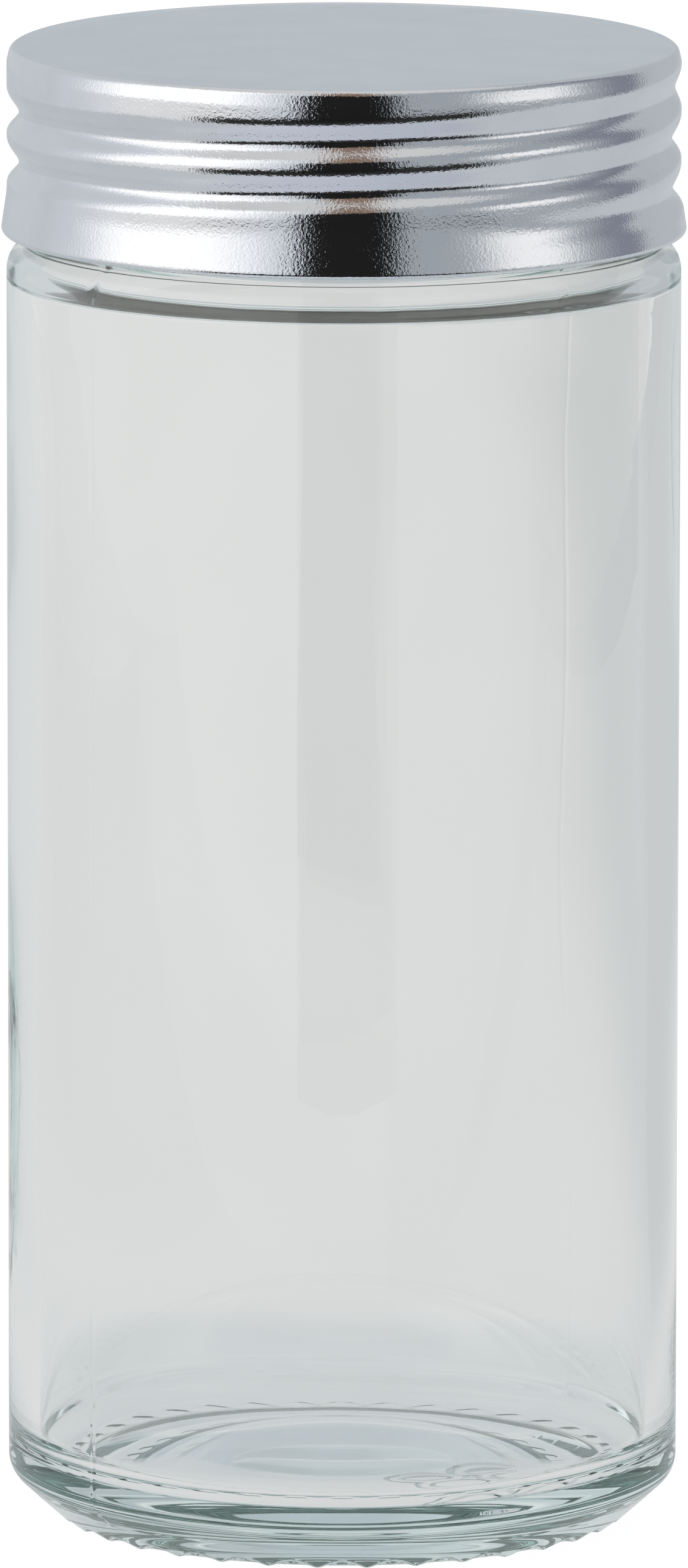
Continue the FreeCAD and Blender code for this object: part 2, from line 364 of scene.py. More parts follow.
@dataclass(frozen=True)
class TinnedSteel(Finish):
    """Bright tin-plated sheet: polished, with a fine orange-peel skin, lacquered inside."""

    bright: Colour = colour(0.83, 0.84, 0.86)
    dull: Colour = colour(0.78, 0.79, 0.81)
    lacquer: Colour = colour(0.78, 0.77, 0.74)
    peel_scale: float = 5000.0
    peel_height: float = 1.9e-5
    dent_scale: float = 900.0
    dent_height: float = 3.0e-6
    patch_scale: float = 180.0
    patch_levels: Point = (0.35, 0.75)
    smooth: float = 0.05
    rough: float = 0.1
    top_share: float = 0.5
    inner_levels: Point = (-0.1, 0.0)

    def wire(self, tree: Tree) -> None:
        """Adds the metal's nodes.

        Args:
            tree: the material's tree.
        """
        peel = tree.noise(self.peel_scale, 2.0, 0.55)
        dents = tree.noise(self.dent_scale, 1.0)
        height = peel * (self.peel_height / MM) + dents * (self.dent_height / MM)
        patches = tree.noise(self.patch_scale, 4.0)
        outside = self.outside(tree)
        plate = tree.mix(patches.step(*self.patch_levels), self.bright, self.dull)
        metal = tree.node("ShaderNodeBsdfPrincipled", {}, {
            "Base Color": tree.mix(outside, self.lacquer, plate),
            "Metallic": outside,
            "Roughness": self.smooth + patches * (self.rough - self.smooth),
            "Normal": tree.bump(height, MM),
        })
        self.output(tree, metal)

    def outside(self, tree: Tree) -> Value:
        """1 where the sheet faces away from the axis or up, 0 on its lacquered inside.

        Args:
            tree: the material's tree.

        Returns:
            The share of bare metal.
        """
        level = tree.vector("MULTIPLY", tree.place(), (1.0, 1.0, 0.0))
        outward = tree.vector("NORMALIZE", level.outputs[0])
        outer = tree.vector("ADD", outward.outputs[0], (0.0, 0.0, self.top_share))
        normal = tree.node("ShaderNodeVectorTransform", {
            "vector_type": "NORMAL", "convert_from": "WORLD", "convert_to": "OBJECT",
        }, {0: tree.node("ShaderNodeNewGeometry").outputs["True Normal"]})
        facing = tree.vector("DOT_PRODUCT", normal.outputs[0], outer.outputs[0])
        return Value(tree, facing.outputs["Value"]).step(*self.inner_levels)


@dataclass(frozen=True)
class FoamedPlastic(Finish):
    """Off-white foamed plastic of the sealing disc: satin, with fine closed cells."""

    pale: Colour = colour(0.8, 0.8, 0.77)
    shaded: Colour = colour(0.72, 0.72, 0.69)
    cell_scale: float = 2600.0
    cell_height: float = 12e-6
    cell_levels: Point = (0.3, 0.7)
    roughness: float = 0.5
    cell_roughness: float = 0.2

    def wire(self, tree: Tree) -> None:
        """Adds the foam's nodes.

        Args:
            tree: the material's tree.
        """
        cells = tree.noise(self.cell_scale, 3.0, 0.6)
        foam = tree.node("ShaderNodeBsdfPrincipled", {}, {
            "Base Color": tree.mix(cells.step(*self.cell_levels), self.shaded, self.pale),
            "Roughness": self.roughness + cells * self.cell_roughness,
            "Normal": tree.bump(cells, self.cell_height),
        })
        self.output(tree, foam)


@dataclass(frozen=True)
class PaleFloor(Finish):
    """The plain floor: white to the eye, pale in metal and glass, and still a little shaded."""

    front_left: Colour = colour(0.60, 0.63, 0.70)
    front_right: Colour = colour(0.46, 0.49, 0.565)
    # Painted shadow round the jar, seen in metal and glass only.
    near_shadow: Colour = colour(0.625, 0.645, 0.66)
    far: Colour = colour(0.716, 0.715, 0.712)
    aside: Colour = colour(0.53, 0.565, 0.59)
    shade: Colour = colour(0.52, 0.535, 0.535)
    paint: Colour = colour(0.8, 0.795, 0.82)
    spot_back: float = 0.03
    spot_edge: Point = (0.035, 0.047)
    front_blend: Point = (-0.09, 0.07)
    front_edge: Point = (-0.024, -0.034)
    aside_edge: Point = (0.05, 0.09)
    shade_edge: Point = (0.025, 0.10)
    shade_share: float = 0.8
    strength: float = 1.08
    evenness: float = 0.9

    def wire(self, tree: Tree) -> None:
        """Adds the floor's nodes.

        Args:
            tree: the material's tree.
        """
        light_path = tree.node("ShaderNodeLightPath")
        to_eye, glossy, through = (
            Value(tree, light_path.outputs[f"Is {ray} Ray"])
            for ray in ("Camera", "Glossy", "Transmission"))
        place = tree.place()
        across, back, _ = tree.axes(place)
        from_spot = tree.vector("DISTANCE", place, (0.0, self.spot_back, 0.0))
        in_metal = glossy * (1.0 - through)
        front = tree.mix(across.step(*self.front_blend), self.front_left, self.front_right)
        # Painted shadow: round a spot just behind the jar the floor is darker in metal and glass.
        tone = tree.mix(Value(tree, from_spot.outputs["Value"]).step(*self.spot_edge),
                        self.near_shadow, self.far)
        tone = tree.mix(back.step(*self.front_edge) * in_metal, tone, front)
        tone = tree.mix(across.size().step(*self.aside_edge) * in_metal, tone, self.aside)
        shaded = across.step(*self.shade_edge) * through * self.shade_share
        tone = tree.mix(shaded, tone, self.shade)
        tone = tree.mix(to_eye, tone, grey(1.0))
        painted = tree.node("ShaderNodeBsdfDiffuse", {}, {"Color": self.paint})
        even = tree.node("ShaderNodeEmission", {}, {"Color": tone, "Strength": self.strength})
        factor = (to_eye + glossy + through).step(0.0, 1.0) * self.evenness
        self.output(tree, tree.node("ShaderNodeMixShader", {}, {
            0: factor, 1: painted.outputs[0], 2: even.outputs[0],
        }))


@dataclass(frozen=True)
class StudioCard(Finish):
    """A plain card that shows in metal and glass only: dark in reflections, paler through glass."""

    tone: Colour = grey(0.012)
    through_low: Colour = grey(0.38)
    through_high: Colour = grey(0.68)
    straight: Colour = grey(0.71)
    low_edge: Point = (0.075, 0.095)

    def wire(self, tree: Tree) -> None:
        """Adds the card's nodes.

        Args:
            tree: the material's tree.
        """
        light_path = tree.node("ShaderNodeLightPath")
        bent = Value(tree, light_path.outputs["Is Transmission Ray"])
        mirrored = Value(tree, light_path.outputs["Glossy Depth"]).step(0.0, 1.0)
        high = tree.axes(tree.place())[2].step(*self.low_edge)
        through = tree.mix(mirrored, self.straight,
                           tree.mix(high, self.through_low, self.through_high))
        self.output(tree, tree.node("ShaderNodeEmission", {}, {
            "Color": tree.mix(bent, self.tone, through),
        }))


def smooth_step(values: Rows, start: float, end: float) -> Rows:
    """Rises smoothly from 0 at start to 1 at end, for each value."""
    share = np.clip((values - start) / (end - start), 0.0, 1.0)
    return share * share * (3 - 2 * share)


def rounded_line(corners: Sequence[tuple[float, ...]], step: float, arc_step: float = 0.12) -> Rows:
    """Points along straight runs with rounded corners.

    Args:
        corners: (across, up) or (across, up, rounding radius), in millimetres.
        step: longest distance between points on a run.
        arc_step: angle between points on a rounding, in radians.

    Returns:
        The points, one row each.
    """
    line: list[np.ndarray] = []
    spots = [np.array(corner[:2], float) for corner in corners]

    def run_to(end: np.ndarray) -> None:
        """Adds points from the last one up to this one."""
        start = line[-1]
        count = max(1, math.ceil(np.linalg.norm(end - start) / step))
        line.extend(start + (end - start) * i / count for i in range(1, count + 1))

    line.append(spots[0])
    for index, corner in enumerate(corners[1:], start=1):
        if len(corner) < 3 or index == len(corners) - 1:
            run_to(spots[index])
            continue
        before = spots[index - 1] - spots[index]
        after = spots[index + 1] - spots[index]
        before, after = before / np.linalg.norm(before), after / np.linalg.norm(after)
        half = math.acos(np.clip(before @ after, -1, 1)) / 2
        radius = corner[2]
        middle = (before + after) / np.linalg.norm(before + after)
        centre = spots[index] + middle * (radius / math.sin(half))
        first = spots[index] + before * (radius / math.tan(half))
        last = spots[index] + after * (radius / math.tan(half))
        run_to(first)
        start_angle = math.atan2(*(first - centre)[::-1])
        turn = math.atan2(*(last - centre)[::-1]) - start_angle
        turn = (turn + math.pi) % FULL_TURN - math.pi
        count = max(2, math.ceil(abs(turn) / arc_step))
        for i in range(1, count + 1):
            angle = start_angle + turn * i / count
            line.append(centre + radius * np.array([math.cos(angle), math.sin(angle)]))
    return np.array(line)


@dataclass
class Lathe:
    """A closed turned surface whose points may be moved before it becomes a mesh.

    Rows follow the outline from the axis round to the axis again, columns go round the axis.
    """

    outline: Rows
    angles: Rows

    def __post_init__(self) -> None:
        """Spreads the outline over all the angles."""
        self.radius = np.repeat(self.outline[:, :1], len(self.angles), axis=1)
        self.height = np.repeat(self.outline[:, 1:], len(self.angles), axis=1)
        self.angle = np.repeat(self.angles[None, :], len(self.outline), axis=0)

    def mesh(self, name: str) -> bpy.types.Mesh:
        """Makes the closed mesh, in metres.

        Args:
            name: the mesh's name.

        Returns:
            The mesh.
        """
        across = len(self.angles)
        rings = slice(1, len(self.outline) - 1)
        radius, height, angle = self.radius[rings], self.height[rings], self.angle[rings]
        ring_points = np.stack([radius * np.cos(angle), radius * np.sin(angle), height], -1)
        ends = [(0.0, 0.0, self.height[row].mean()) for row in (0, -1)]
        points = np.concatenate([ring_points.reshape(-1, 3), ends]) * MM
        first_end, last_end = len(points) - 2, len(points) - 1
        row_count = len(radius)
        column = np.arange(across)
        after = (column + 1) % across
        starts = np.arange(row_count - 1)[:, None] * across
        quads = np.stack([starts + column, starts + after,
                          starts + across + after, starts + across + column], -1).reshape(-1, 4)
        last_ring = (row_count - 1) * across
        fans = np.concatenate([
            np.stack([np.full(across, first_end), after, column], -1),
            np.stack([np.full(across, last_end), last_ring + column, last_ring + after], -1),
        ])
        mesh = bpy.data.meshes.new(name)
        mesh.from_pydata(points.tolist(), [], quads.tolist() + fans.tolist())
        mesh.validate()
        mesh.shade_smooth()
        return mesh


def even_angles(count: int, fine_places: Sequence[float] = (), reach: float = 0.03,
                fine_step: float = 0.002) -> Rows:
    """Angles round the axis, closer together at some places.

    Args:
        count: evenly spaced angles.
        fine_places: angles in radians that get finer spacing.
        reach: how far the finer spacing goes each way.
        fine_step: the finer spacing.

    Returns:
        The sorted angles.
    """
    angles = np.arange(count) * FULL_TURN / count
    for place in fine_places:
        away = (angles - place + math.pi) % FULL_TURN - math.pi
        angles = angles[np.abs(away) > reach]
        steps = int(reach / fine_step)
        angles = np.append(angles, place + np.arange(-steps, steps + 1) * fine_step)
    return np.sort(angles % FULL_TURN)


@dataclass(frozen=True)
class ScrewLine:
    """A right-handed screw line round the axis with ends that run out.

    A turn owns the heights from `below` pitches under it up to where the next turn's begin.
    """

    start_height: float
    start_angle: float
    pitch: float
    turns: float
    run_out: float
    below: float = 0.5

    def place(self, angle: Rows, height: Rows) -> tuple[Rows, Rows]:
        """Where points lie on the screw line.

        Args:
            angle: the points' angles, in radians.
            height: the points' heights, in millimetres.

        Returns:
            Each point's height over the nearest turn, and that turn's strength, 0 to 1.
        """
        part_turn = ((angle - self.start_angle) % FULL_TURN) / FULL_TURN
        turn = np.floor((height - self.start_height) / self.pitch - part_turn + self.below)
        along = turn + part_turn
        over = height - self.start_height - along * self.pitch
        strength = (smooth_step(along, 0.0, self.run_out)
                    * (1 - smooth_step(along, self.turns - self.run_out, self.turns)))
        return over, strength


# Each digit's arcs: centre and radius in heights of a digit, first angle and turn in degrees.
DIGIT_ARCS: dict[str, tuple[tuple[Point, float, float, float], ...]] = {
    "3": (((0.0, 0.24), 0.24, 150, -240), ((0.0, -0.22), 0.28, 90, -240)),
    "8": (((0.0, 0.25), 0.23, 90, 360), ((0.0, -0.23), 0.27, 90, 360)),
}


def digit_distance(digit: str, place: Rows) -> Rows:
    """How far points are from the middle line of a digit's strokes.

    Args:
        digit: the digit.
        place: the points, (right, up) from the digit's middle in the last axis.

    Returns:
        Each point's distance, in the unit of the points.
    """
    away = np.full(place.shape[:-1], np.inf)
    for centre, radius, first, turn in DIGIT_ARCS[digit]:
        steps = np.radians(np.linspace(first, first + turn, 40))
        for angle in steps:
            spot = np.array(centre) + radius * np.array([math.cos(angle), math.sin(angle)])
            away = np.minimum(away, np.linalg.norm(place - spot, axis=-1))
    return away


@dataclass
class GlassJar:
    """The jar: turned glass body, threaded neck, knurled foot, number under the base."""

    foot_radius: float = 21.0
    foot_width: float = 1.5
    foot_rounding: float = 0.35
    heel_height: float = 3.5
    heel_rounding: float = 2.0
    heel_length: float = 3.0
    wall: float = 2.35
    shoulder_drop: float = 0.7
    shoulder_rounding: float = 2.4
    neck_radius: float = 23.4
    neck_length: float = 13.2
    neck_foot_rounding: float = 0.25
    neck_wall: float = 2.5
    rim_outer_rounding: float = 1.0
    rim_inner_rounding: float = 0.8
    bore_length: float = 13.5
    bore_end_rounding: float = 4.0
    inner_shoulder: float = 2.6
    inner_shoulder_rounding: float = 1.0
    punt_height: float = 2.4
    punt_power: float = 2.6
    floor_height: float = 4.6
    floor_corners: tuple[tuple[float, float, float], ...] = ((0.0, 1.6, 2.4), (2.2, 0.0, 3.0))
    dome_inset: float = 6.0
    dome_rise: float = 1.7
    knurl_count: int = 36
    knurl_depth: float = 0.6
    knurl_angle: float = math.radians(5.0)
    knurl_edge: Point = (-0.9, 0.1)
    knurl_reach: float = 2.5
    knurl_top: float = 1.5
    knurl_power: float = 0.7
    knurl_softness: float = 0.05
    pitch: float = 3.7
    thread_depth: float = 0.9
    thread_drop: float = 7.65
    thread_turns: float = 1.5
    thread_run_out: float = 0.09
    thread_flank: Point = (0.35, 1.1)
    sag_waves: tuple[tuple[float, ...], ...] = (
        (0.10, 2, 0.05, 1.0), (0.05, 3, -0.11, 0.0), (0.02, 5, 0.19, 2.0))
    sag_over_floor: Point = (2.0, 14.0)
    sag_over_top: Point = (-26.0, -18.0)
    ripple_waves: tuple[int, ...] = (5, 9, 16, 23, 31, 43)
    ripple_twist: float = 0.8
    ripple_reach: float = 1.3
    ripple_depth: float = 0.02
    seam_angles: tuple[float, ...] = (math.radians(-137.6), math.radians(42.4))
    seam_height: float = 0.018
    seam_width: float = 0.2
    seam_over_base: Point = (1.0, 3.0)
    seam_over_neck_foot: Point = (-2.0, -1.0)
    neck_seam_height: float = 0.12
    neck_seam_width: float = 0.45
    neck_seam_end: Point = (2.0, 3.0)
    number: tuple[tuple[str, Point], ...] = (("8", (7.6, -12.4)), ("3", (12.2, -8.6)))
    number_up: Point = (-0.56, 0.83)
    number_height: float = 10.5
    number_depth: float = 0.8
    number_stroke: float = 0.7
    number_flat_share: float = 0.55
    outline_shade_share: float = 0.85
    outline_shade_width: float = 0.2
    number_margin: float = 0.8
    least_height: float = 0.02
    columns: int = 720
    height: float = field(init=False)
    radius: float = field(init=False)

    def __post_init__(self) -> None:
        """Takes the overall sizes from the frame."""
        low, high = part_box(Part.JAR.value)
        self.height = (high[2] - low[2]) / MM
        self.radius = (high[0] - low[0]) / 2 / MM

    def outline(self) -> Rows:
        """The half section, from the middle of the underside round to the middle of the floor."""
        neck_foot = self.height - self.neck_length
        bore_radius = self.neck_radius - self.neck_wall
        bore_end = self.height - self.bore_length
        inner_radius = self.radius - self.wall
        foot_inner = self.foot_radius - self.foot_width
        dome_radius = inner_radius - self.dome_inset
        hollow = np.arange(0, foot_inner, 0.15)
        punt = self.punt_height * (1 - (hollow / foot_inner) ** self.punt_power)
        heel_top = (self.radius, self.heel_height + self.heel_length)
        neck_start = (self.neck_radius, neck_foot + 1.0)
        bore_middle = (bore_radius, bore_end + 3.0)
        underside = rounded_line([
            (foot_inner, 0),
            (self.foot_radius, 0, self.foot_rounding),
            (self.radius, self.heel_height, self.heel_rounding),
            heel_top,
        ], 0.2)
        side = rounded_line([
            heel_top,
            (self.radius, neck_foot - self.shoulder_drop, self.shoulder_rounding),
            (self.neck_radius, neck_foot, self.neck_foot_rounding),
            neck_start,
        ], 2.0)
        neck = rounded_line([
            neck_start,
            (self.neck_radius, self.height, self.rim_outer_rounding),
            (bore_radius, self.height, self.rim_inner_rounding),
            bore_middle,
        ], 0.2)
        inside = rounded_line([
            bore_middle,
            (bore_radius, bore_end, self.bore_end_rounding),
            (inner_radius, bore_end - self.inner_shoulder, self.inner_shoulder_rounding),
            *((inner_radius - inset, self.floor_height + rise, rounding)
              for inset, rise, rounding in self.floor_corners),
            (dome_radius, self.floor_height),
        ], 1.0, 0.06)
        floor = np.linspace(dome_radius, 0, 60)[1:]
        dome = (self.floor_height
                + self.dome_rise * (0.5 + 0.5 * np.cos(math.pi * floor / dome_radius)))
        return np.concatenate([np.stack([hollow, punt], -1), underside, side[1:], neck[1:],
                               inside[1:], np.stack([floor, dome], -1)])

    def build(self) -> bpy.types.Object:
        """Makes the jar's object.

        Returns:
            The jar, standing for its node.
        """
        lathe = Lathe(self.outline(), even_angles(self.columns, self.seam_angles))
        self.raise_thread(lathe)
        self.cut_knurl(lathe)
        self.raise_seams(lathe)
        self.sag_inside(lathe)
        self.roughen_shoulder(lathe)
        edges = self.raise_number(lathe)
        finish = MouldedGlass("moulded_glass")
        mesh = lathe.mesh("jar_glass")
        # The number's stroke edges, where the glass is painted darker as shade.
        marked = mesh.attributes.new(finish.outline_shade_name, "FLOAT", "POINT")
        marked.data.foreach_set("value", np.append(edges[1:-1].ravel(), (0.0, 0.0)))
        return finish_piece("jar_glass", mesh, finish, Part.JAR)

    def outside(self, lathe: Lathe) -> Rows:
        """1 on the outside of the neck and the body, 0 elsewhere."""
        return (lathe.radius > self.neck_radius - 0.05).astype(float)

    def raise_thread(self, lathe: Lathe) -> None:
        """Raises the screw thread on the neck.

        Args:
            lathe: the jar's surface.
        """
        line = ScrewLine(self.height - self.thread_drop, 0.0, self.pitch, self.thread_turns,
                         self.thread_run_out)
        over, strength = line.place(lathe.angle, lathe.height)
        ridge = 1 - smooth_step(np.abs(over), *self.thread_flank)
        on_neck = self.outside(lathe) * (lathe.height > self.height - self.neck_length + 1.0)
        lathe.radius += ridge * strength * on_neck * self.thread_depth

    def cut_knurl(self, lathe: Lathe) -> None:
        """Lifts the bearing ring between its teeth.

        Args:
            lathe: the jar's surface.
        """
        wave = 0.5 - 0.5 * np.cos(self.knurl_count * (lathe.angle - self.knurl_angle))
        outer = smooth_step(lathe.radius - self.foot_radius, *self.knurl_edge)
        arch = self.knurl_depth * wave ** self.knurl_power * outer
        near_ring = ((lathe.radius > self.foot_radius - self.foot_width - self.knurl_reach)
                     & (lathe.height < self.knurl_top))
        gap = lathe.height - arch
        lifted = (lathe.height + arch + np.sqrt(gap * gap + self.knurl_softness ** 2)) / 2
        lathe.height = np.where(near_ring, lifted, lathe.height)

    def raise_seams(self, lathe: Lathe) -> None:
        """Raises the two seams that the mould's halves leave, finest on the body.

        Args:
            lathe: the jar's surface.
        """
        over_foot = lathe.height - (self.height - self.neck_length)
        outside = self.outside(lathe) * smooth_step(lathe.height, *self.seam_over_base)
        on_neck = smooth_step(over_foot, *self.seam_over_neck_foot)
        body = outside * (1 - on_neck)
        neck = outside * on_neck * (1 - smooth_step(over_foot, *self.neck_seam_end))
        for seam in self.seam_angles:
            away = ((lathe.angle - seam + math.pi) % FULL_TURN - math.pi) * self.radius
            bead = np.exp(-((away / self.seam_width) ** 2))
            lathe.radius += (bead - 1) * body * self.seam_height
            lump = np.exp(-((away / self.neck_seam_width) ** 2))
            lathe.radius += lump * neck * self.neck_seam_height

    def sag_inside(self, lathe: Lathe) -> None:
        """Makes the inside a little uneven, as blown glass is.

        Args:
            lathe: the jar's surface.
        """
        inner_radius = self.radius - self.wall
        inside = ((lathe.radius < inner_radius + 0.01) & (lathe.radius > inner_radius - 1.0)
                  & (lathe.height > self.floor_height)).astype(float)
        turn = math.pi - lathe.angle
        uneven = sum(depth * np.sin(waves * turn + twist * lathe.height + start)
                     for depth, waves, twist, start in self.sag_waves)
        fade = smooth_step(lathe.height - self.floor_height, *self.sag_over_floor)
        fade *= 1 - smooth_step(lathe.height - self.height, *self.sag_over_top)
        lathe.radius += inside * uneven * fade

    def roughen_shoulder(self, lathe: Lathe) -> None:
        """Makes the inside of the shoulder uneven, where the neck was pressed before the body.

        Args:
            lathe: the jar's surface.
        """
        inside = (lathe.radius < self.neck_radius) & (lathe.height > self.floor_height + 20)
        middle = self.height - self.bore_length - self.inner_shoulder
        band = np.exp(-(((lathe.height - middle) / self.ripple_reach) ** 2)) * inside
        starts = np.random.default_rng(7).uniform(0, FULL_TURN, len(self.ripple_waves))
        ripple = sum(np.sin(waves * lathe.angle + start + self.ripple_twist * lathe.height)
                     for waves, start in zip(self.ripple_waves, starts))
        lathe.radius += band * ripple / len(starts) * self.ripple_depth

    def raise_number(self, lathe: Lathe) -> Rows:
        """Raises a plain number on the underside, to be read from below.

        Args:
            lathe: the jar's surface.

        Returns:
            1 along the edges of the digits' strokes, where the glass gets its painted shade, 0 away
            from them.
        """
        edges = np.zeros_like(lathe.height)
        under = ((lathe.radius < self.foot_radius - self.number_margin)
                 & (lathe.height < self.punt_height + 0.1))
        across, along = lathe.radius * np.cos(lathe.angle), lathe.radius * np.sin(lathe.angle)
        up = np.array(self.number_up) / math.hypot(*self.number_up)
        right = np.array([-up[1], up[0]])
        for digit, centre in self.number:
            x, y = across - centre[0], along - centre[1]
            place = np.stack([x * right[0] + y * right[1], x * up[0] + y * up[1]], -1)
            away = digit_distance(digit, place / self.number_height) * self.number_height
            ridge = 1 - smooth_step(away, self.number_stroke * self.number_flat_share,
                                    self.number_stroke)
            lathe.height = np.maximum(lathe.height - ridge * under * self.number_depth,
                                      np.minimum(lathe.height, self.least_height))
            # A band just outside each stroke, painted darker on the glass as a shaded outline.
            beside = (away - self.number_stroke * self.outline_shade_share) / self.outline_shade_width
            edges = np.maximum(edges, np.exp(-beside ** 2) * under)
        return edges


@dataclass
class ScrewCap:
    """The cap: thin pressed sheet with a rolled thread, a flared skirt and a curled edge."""

    sheet: float = 0.28
    length: float = 13.85
    flare: float = 0.4
    flare_height: float = 3.1
    flare_rounding: float = 6.0
    edge_rounding: float = 0.55
    edge_lean: float = 0.25
    edge_height: float = 1.2
    edge_foot_rounding: float = 1.5
    rim_width: float = 2.8
    rim_drop: float = 0.14
    rim_rounding: float = 8.0
    curl_radius: float = 0.38
    curl_turn: float = 1.55 * math.pi
    curl_gap: Point = (0.02, 0.15)
    pitch: float = 3.7
    groove_depth: float = 0.8
    groove_swing: float = 0.1
    groove_reach_down: float = 1.55
    groove_sharpness: float = 1.3
    groove_drop: float = 11.38
    groove_turns: float = 2.36
    groove_angle: float = math.radians(-75.0)
    groove_run_out: float = 0.24
    groove_floor: float = 1.5
    columns: int = 720
    top: float = field(init=False)
    radius: float = field(init=False)

    def __post_init__(self) -> None:
        """Takes the overall sizes from the frame."""
        low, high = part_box(Part.CAP.value)
        self.top = high[2] / MM
        self.radius = (high[0] - low[0]) / 2 / MM - self.flare

    def outline(self) -> Rows:
        """The half section of the sheet, from the middle of the top round to under it."""
        bottom = self.top - self.length
        skirt = self.radius + self.flare
        flare_top = bottom + self.flare_height
        curl_centre = (skirt - self.curl_radius, bottom + self.curl_radius)
        outside = rounded_line([
            (0, self.top),
            (self.radius - self.rim_width, self.top, self.rim_rounding),
            (self.radius - self.edge_lean, self.top - self.rim_drop, self.edge_rounding),
            (self.radius, self.top - self.edge_height, self.edge_foot_rounding),
            (self.radius, flare_top, self.flare_rounding),
            (skirt, bottom + self.curl_radius),
        ], 0.2)
        turns = np.linspace(0, -self.curl_turn, 22)
        curl = np.stack([curl_centre[0] + self.curl_radius * np.cos(turns),
                         curl_centre[1] + self.curl_radius * np.sin(turns)], -1)
        inner = self.radius - self.sheet
        inside = rounded_line([
            (skirt - self.sheet - self.curl_gap[0],
             bottom + self.curl_radius * 2 + self.curl_gap[1]),
            (inner, flare_top, self.flare_rounding),
            (inner, self.top - self.edge_height, self.edge_foot_rounding),
            (inner - self.edge_lean, self.top - self.rim_drop - self.sheet,
             self.edge_rounding - self.sheet),
            (inner - self.rim_width, self.top - self.sheet, self.rim_rounding),
            (0, self.top - self.sheet),
        ], 0.2)
        return np.concatenate([outside, curl[1:], inside])

    def build(self) -> bpy.types.Object:
        """Makes the cap's object.

        Returns:
            The cap, standing for its node.
        """
        lathe = Lathe(self.outline(), even_angles(self.columns))
        self.roll_thread(lathe)
        return finish_piece("cap_metal", lathe.mesh("cap_metal"), TinnedSteel("tinned_steel"),
                            Part.CAP)

    def roll_thread(self, lathe: Lathe) -> None:
        """Rolls the thread's groove into the wall.

        Args:
            lathe: the cap's surface.
        """
        line = ScrewLine(self.top - self.groove_drop, self.groove_angle, self.pitch,
                         self.groove_turns, self.groove_run_out,
                         self.groove_reach_down / self.pitch)
        over, strength = line.place(lathe.angle, lathe.height)
        reach = np.where(over > 0, self.pitch - self.groove_reach_down, self.groove_reach_down)
        groove = (0.5 + 0.5 * np.cos(math.pi * over / reach)) ** self.groove_sharpness
        depth = self.groove_depth - self.groove_swing * np.cos(lathe.angle)
        on_wall = ((lathe.radius > self.radius - self.sheet - 0.05)
                   & (lathe.height > self.top - self.length + self.groove_floor)
                   & (lathe.height < self.top - self.edge_height))
        lathe.radius -= groove * strength * depth * on_wall


@dataclass
class SealingDisc:
    """The disc inside the cap: thin foam with a ring pressed into it by the rim."""

    edge_rounding: float = 0.2
    print_radius: float = 22.1
    print_width: float = 0.9
    print_depth: float = 0.08
    columns: int = 240

    def build(self) -> bpy.types.Object:
        """Makes the disc's object.

        Returns:
            The disc, standing for its node.
        """
        low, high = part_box(Part.LINER.value)
        radius, bottom, top = (high[0] - low[0]) / 2 / MM, low[2] / MM, high[2] / MM
        lathe = Lathe(rounded_line([
            (0, bottom), (radius, bottom, self.edge_rounding),
            (radius, top, self.edge_rounding), (0, top),
        ], 0.3), even_angles(self.columns))
        pressed = np.exp(-(((lathe.radius - self.print_radius) / self.print_width) ** 2) * 2)
        lathe.height += pressed * self.print_depth * (lathe.height < (bottom + top) / 2)
        return finish_piece("liner_foam", lathe.mesh("liner_foam"), FoamedPlastic("foamed_plastic"),
                            Part.LINER)


def finish_piece(name: str, mesh: bpy.types.Mesh, finish: Finish, part: Part) -> bpy.types.Object:
    """Turns a mesh into a piece of the jar.

    Args:
        name: the piece's name.
        mesh: its mesh.
        finish: its finish.
        part: the node that it stands for.

    Returns:
        The piece.
    """
    edit = bmesh.new()
    edit.from_mesh(mesh)
    bmesh.ops.recalc_face_normals(edit, faces=edit.faces)
    edit.to_mesh(mesh)
    edit.free()
    mesh.materials.append(finish.material())
    piece = bpy.data.objects.new(name, mesh)
    bpy.context.scene.collection.objects.link(piece)
    body = next(body for body, nodes in frame["record"]["behaviour"]["bodies"].items()
                if part.value in nodes)
    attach(piece, body)
    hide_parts(part.value)
    return piece


@dataclass(frozen=True)
class LightPanel:
    """A soft light in the surroundings: its edges to the left, to the right and at the top.

    Angles are in degrees. Sideways they are counted from the front, to the right.
    """

    left: Point
    right: Point
    top: Point

    def cover(self, side: Value, rise: Value) -> Value:
        """1 where the light covers the direction, 0 elsewhere."""
        return (side.step(*radians(self.left)) * side.step(*radians(self.right))
                * rise.step(*radians(self.top)))


